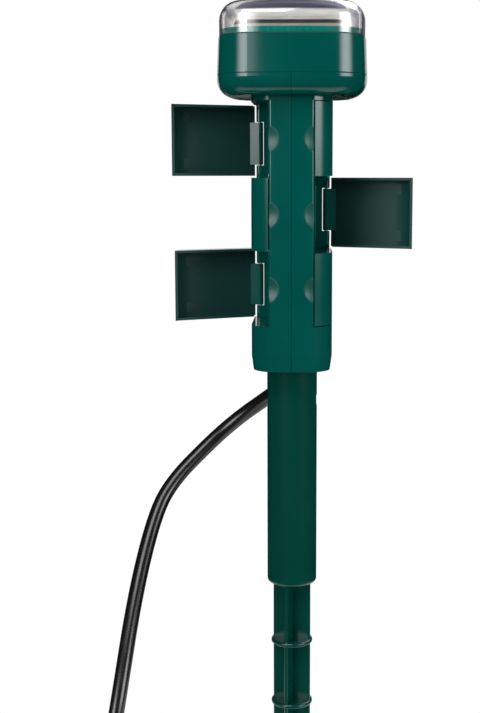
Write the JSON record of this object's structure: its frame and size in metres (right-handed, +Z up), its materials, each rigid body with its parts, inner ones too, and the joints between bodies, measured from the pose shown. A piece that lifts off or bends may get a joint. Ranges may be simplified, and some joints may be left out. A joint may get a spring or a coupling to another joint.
{
  "type": "garden socket spike",
  "caption": "Outdoor power stake: a ground spike and tube carry a column of outlets under hinged side covers, topped by a timer under a clear hinged dome, with a coiled supply cord.",
  "frame": {"origin": "tip of the ground spike, on the stake's centre line", "axes": "+Z up the stake, +X to the right of someone facing the column's front, +Y to the back, where the supply cord leaves"},
  "size_m": [0.1894, 0.2119, 0.5084],
  "materials": {
    "housing": "satin green",
    "cover": "satin green",
    "case": "satin green",
    "tube": "satin green",
    "spike": "satin green",
    "insert": "fine matte green",
    "dome": "clear, polished",
    "gasket": "matte",
    "pin": "drawn wire",
    "screw": "zinc plated",
    "strip": "stamped",
    "panel": "fine matte",
    "face": "fine matte",
    "window": "polished",
    "button": "soft matte",
    "board": "solder mask",
    "relay": "moulded",
    "gland": "matte",
    "cord": "satin",
    "plug": "satin",
    "blade": "polished"
  },
  "bodies": {
    "column": {"left_housing": "housing", "right_housing": "housing", "timer_case": "case", "dome_hinge_pin": "pin", "dome_gasket": "gasket", "timer_panel": "panel", "panel_face": "face", "display_window": "window", "control_board": "board", "relay": "relay", "side_screws": "screw", "case_screws": "screw", "stake_tube": "tube", "ground_spike": "spike", "cover_hinge_pins": "pin", "neutral_strip": "strip", "hot_strip": "strip", "ground_strip": "strip", "cord_gland": "gland", "supply_cord": "cord", "cord_coil": "cord", "supply_plug": "plug", "plug_blades": "blade", "outlet_insert_left_1": "insert", "outlet_insert_left_2": "insert", "outlet_insert_left_3": "insert", "outlet_insert_right_1": "insert", "outlet_insert_right_2": "insert", "outlet_insert_right_3": "insert"},
    "cover_left_1": {"cover_left_1": "cover"},
    "cover_left_2": {"cover_left_2": "cover"},
    "cover_left_3": {"cover_left_3": "cover"},
    "cover_right_1": {"cover_right_1": "cover"},
    "cover_right_2": {"cover_right_2": "cover"},
    "cover_right_3": {"cover_right_3": "cover"},
    "clear_dome": {"clear_dome": "dome"},
    "mode_button": {"mode_button": "button"},
    "hour_button": {"hour_button": "button"},
    "minute_button": {"minute_button": "button"},
    "override_button": {"override_button": "button"}
  },
  "joints": [
    {"name": "cover_left_1_hinge", "type": "hinge", "parent": "column", "child": "cover_left_1", "pos_m": [-0.0194, 0.0307, 0.35415], "axis": [0, 0, -1], "range_deg": [-63, 37]},
    {"name": "cover_left_2_hinge", "type": "hinge", "parent": "column", "child": "cover_left_2", "pos_m": [-0.0194, 0.0307, 0.39505], "axis": [0, 0, -1], "range_deg": [0, 100]},
    {"name": "cover_left_3_hinge", "type": "hinge", "parent": "column", "child": "cover_left_3", "pos_m": [-0.0194, 0.0307, 0.43595], "axis": [0, 0, -1], "range_deg": [-65.2, 34.8]},
    {"name": "cover_right_1_hinge", "type": "hinge", "parent": "column", "child": "cover_right_1", "pos_m": [0.0194, 0.0307, 0.35415], "axis": [0, 0, 1], "range_deg": [0, 100]},
    {"name": "cover_right_2_hinge", "type": "hinge", "parent": "column", "child": "cover_right_2", "pos_m": [0.0194, 0.0307, 0.39505], "axis": [0, 0, 1], "range_deg": [-65.2, 34.8]},
    {"name": "cover_right_3_hinge", "type": "hinge", "parent": "column", "child": "cover_right_3", "pos_m": [0.0194, 0.0307, 0.43595], "axis": [0, 0, 1], "range_deg": [0, 100]},
    {"name": "dome_hinge", "type": "hinge", "parent": "column", "child": "clear_dome", "pos_m": [0, 0.044, 0.4904], "axis": [-1, 0, 0], "range_deg": [0, 100]},
    {"name": "mode_button_press", "type": "slide", "parent": "column", "child": "mode_button", "axis": [0, 0, -1], "range_m": [0, 0.0008], "stiffness_N_per_m": 200},
    {"name": "hour_button_press", "type": "slide", "parent": "column", "child": "hour_button", "axis": [0, 0, -1], "range_m": [0, 0.0008], "stiffness_N_per_m": 200},
    {"name": "minute_button_press", "type": "slide", "parent": "column", "child": "minute_button", "axis": [0, 0, -1], "range_m": [0, 0.0008], "stiffness_N_per_m": 200},
    {"name": "override_button_press", "type": "slide", "parent": "column", "child": "override_button", "axis": [0, 0, -1], "range_m": [0, 0.0008], "stiffness_N_per_m": 200}
  ]
}
